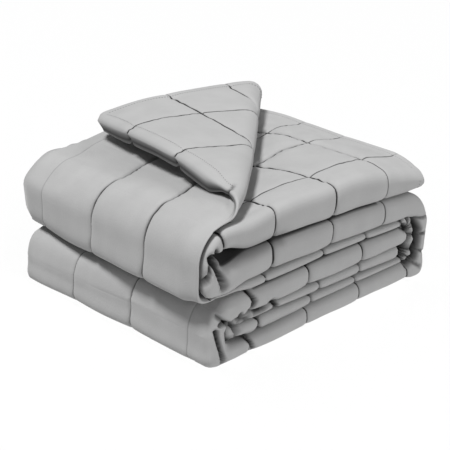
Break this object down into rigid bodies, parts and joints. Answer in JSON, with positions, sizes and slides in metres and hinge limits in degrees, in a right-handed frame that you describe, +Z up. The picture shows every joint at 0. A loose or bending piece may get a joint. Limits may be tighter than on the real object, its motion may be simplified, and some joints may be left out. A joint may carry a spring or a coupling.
{
  "type": "weighted blanket",
  "caption": "Quilted weighted blanket folded into a thick rectangular stack, with one loose corner turned back on top.",
  "frame": {"origin": "centre of the bounding box at the surface the folded stack lies on", "axes": "+X along the side where the folded edges show, from the two rolled ends towards the wrapped end; +Y along the rolled ends, away from that side; +Z up"},
  "size_m": [0.4772, 0.391, 0.2351],
  "materials": {
    "grey_cloth": "brushed, matt"
  },
  "bodies": {
    "root": {"blanket": "grey_cloth"}
  },
  "joints": []
}
